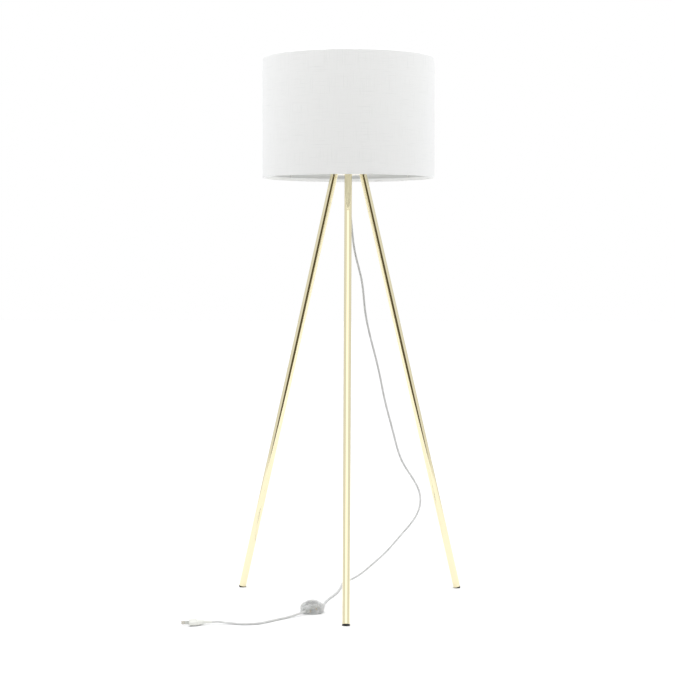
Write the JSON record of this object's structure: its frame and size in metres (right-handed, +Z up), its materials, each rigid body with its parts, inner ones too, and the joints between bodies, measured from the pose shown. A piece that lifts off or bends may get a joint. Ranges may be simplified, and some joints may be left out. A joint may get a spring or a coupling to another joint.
{
  "type": "tripod floor lamp",
  "caption": "Floor lamp on three straight splayed tube legs, with a cylindrical textile drum shade, a screw-base lampholder, a clear corded foot switch and a flat plug.",
  "frame": {"origin": "floor level under the middle of the stand and shade's bounding box, cord and foot switch left out; the lamp's own axis stands 61.8 mm behind it, at +Y", "axes": "+Z up, -Y towards the front leg, +X to the right of a viewer who faces the front leg"},
  "size_m": [0.7084, 0.6007, 1.42],
  "materials": {
    "polished_gold": "pale gold plating on polished steel tube, mirror gloss",
    "brass": "stamped, satin",
    "zinc_steel": "zinc plated",
    "spring_steel": "dark oiled spring wire",
    "white_coated_steel": "white powder coat",
    "black_rubber": "moulded, matt",
    "white_plastic": "moulded thermoplastic",
    "white_ceramic": "glazed steatite",
    "white_textile": "fine white textile laminated on plastic film, matt",
    "clear_plastic": "clear moulded plastic",
    "clear_cord": "translucent grey-white PVC jacket"
  },
  "bodies": {
    "lamp": {"hub_plate": "polished_gold", "leg_socket_front": "polished_gold", "leg_socket_right": "polished_gold", "leg_socket_left": "polished_gold", "leg_tube_front": "polished_gold", "leg_tube_right": "polished_gold", "leg_tube_left": "polished_gold", "leg_insert_front": "zinc_steel", "leg_insert_right": "zinc_steel", "leg_insert_left": "zinc_steel", "foot_pad_front": "black_rubber", "foot_pad_right": "black_rubber", "foot_pad_left": "black_rubber", "nipple": "zinc_steel", "nipple_nut": "zinc_steel", "lock_washer": "zinc_steel", "cord_grip": "white_plastic", "cord_grip_screw": "zinc_steel", "lampholder_lead": "clear_cord", "lampholder_cap": "white_plastic", "lampholder_shell": "white_plastic", "contact_block": "white_ceramic", "thread_sleeve": "brass", "centre_contact": "brass", "terminal_screw_live": "brass", "terminal_screw_neutral": "brass", "shade_ring_lower": "white_plastic", "shade_ring_upper": "white_plastic", "shade_spider": "white_coated_steel", "shade_bottom_ring": "zinc_steel", "shade_top_ring": "zinc_steel", "shade_drum": "white_textile", "switch_base": "clear_plastic", "switch_cover": "clear_plastic", "switch_spring": "spring_steel", "switch_spring_seat": "white_plastic", "switch_mechanism": "zinc_steel", "switch_terminal_in": "brass", "switch_terminal_out": "brass", "switch_clamp_in": "white_plastic", "switch_clamp_out": "white_plastic", "switch_screw_1": "zinc_steel", "switch_screw_2": "zinc_steel", "switch_screw_3": "zinc_steel", "cord_upper": "clear_cord", "cord_lower": "clear_cord", "plug_body": "clear_plastic", "plug_relief": "clear_plastic", "plug_pin_live": "brass", "plug_pin_neutral": "brass"},
    "button": {"switch_button": "clear_plastic"}
  },
  "joints": [
    {"name": "button_press", "type": "slide", "parent": "lamp", "child": "button", "axis": [0, 0, -1], "range_m": [0, 0.003], "stiffness_N_per_m": 350, "springref_m": -0.002, "deforming": ["switch_spring"]}
  ]
}
